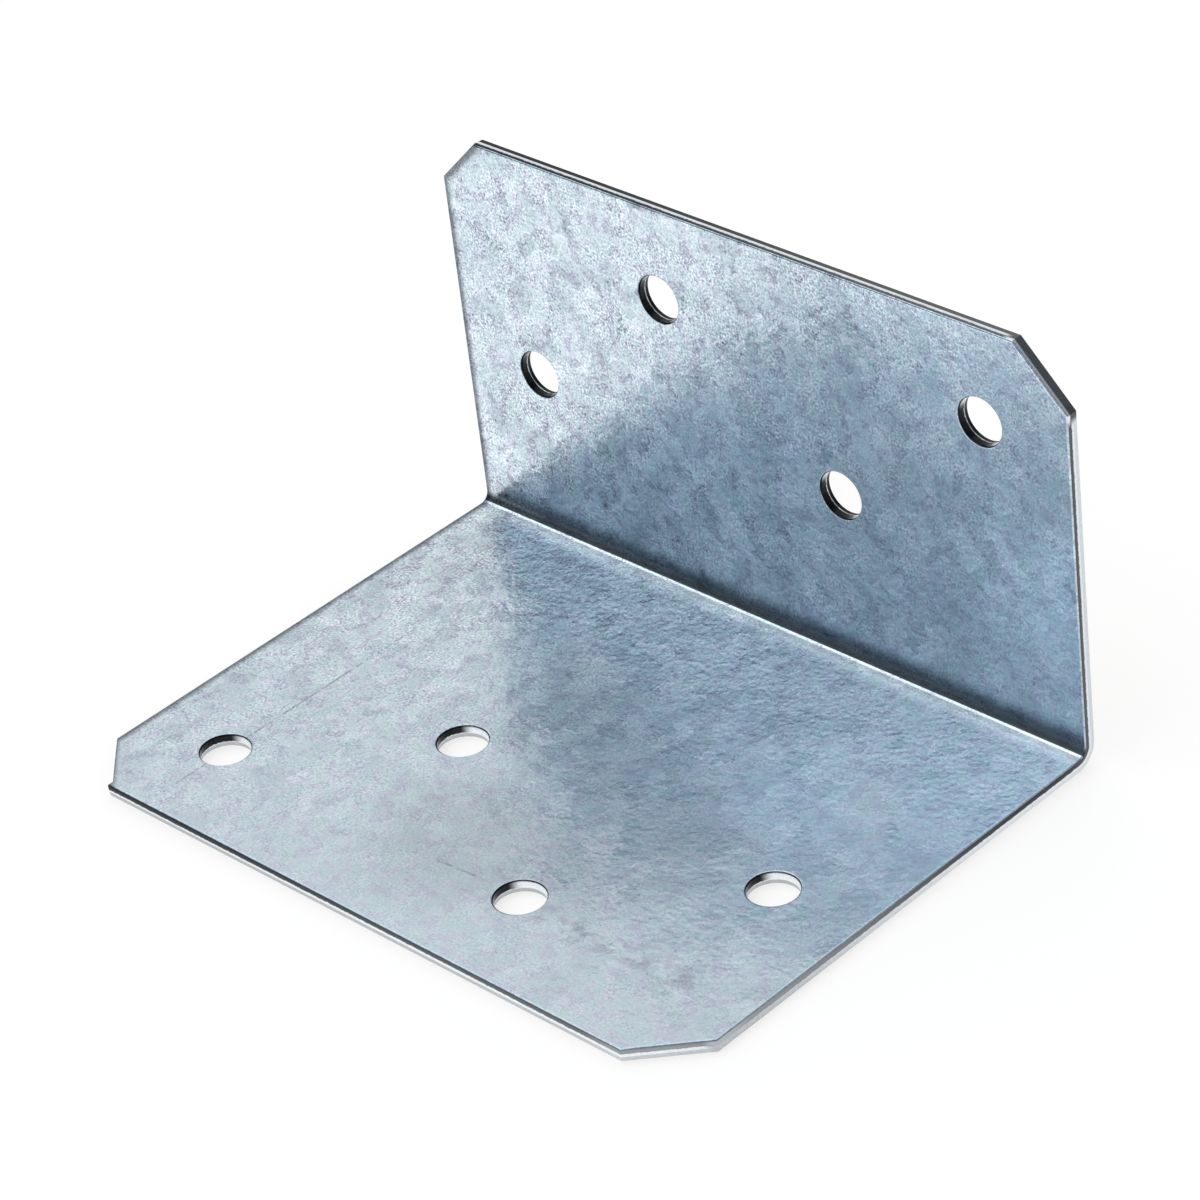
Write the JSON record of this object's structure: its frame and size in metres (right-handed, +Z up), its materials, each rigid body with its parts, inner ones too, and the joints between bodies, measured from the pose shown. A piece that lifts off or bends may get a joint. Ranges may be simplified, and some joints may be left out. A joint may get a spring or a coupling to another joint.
{
  "type": "framing angle",
  "caption": "Right-angle framing connector folded from galvanised sheet steel, with clipped corners and staggered nail holes in each leg, for joining timber members at a corner.",
  "frame": {"origin": "on the underside of the base leg, midway along the bend and midway between the front edge and the heel", "axes": "+X along the bend, to the right as pictured; +Y from the base leg's front edge to the heel, where the upright leg stands; +Z up"},
  "size_m": [0.069, 0.0516, 0.0389],
  "materials": {
    "galvanised_steel": "hot-dip galvanised, satin, with a fine spangle"
  },
  "bodies": {
    "root": {"framing_angle": "galvanised_steel"}
  },
  "joints": []
}
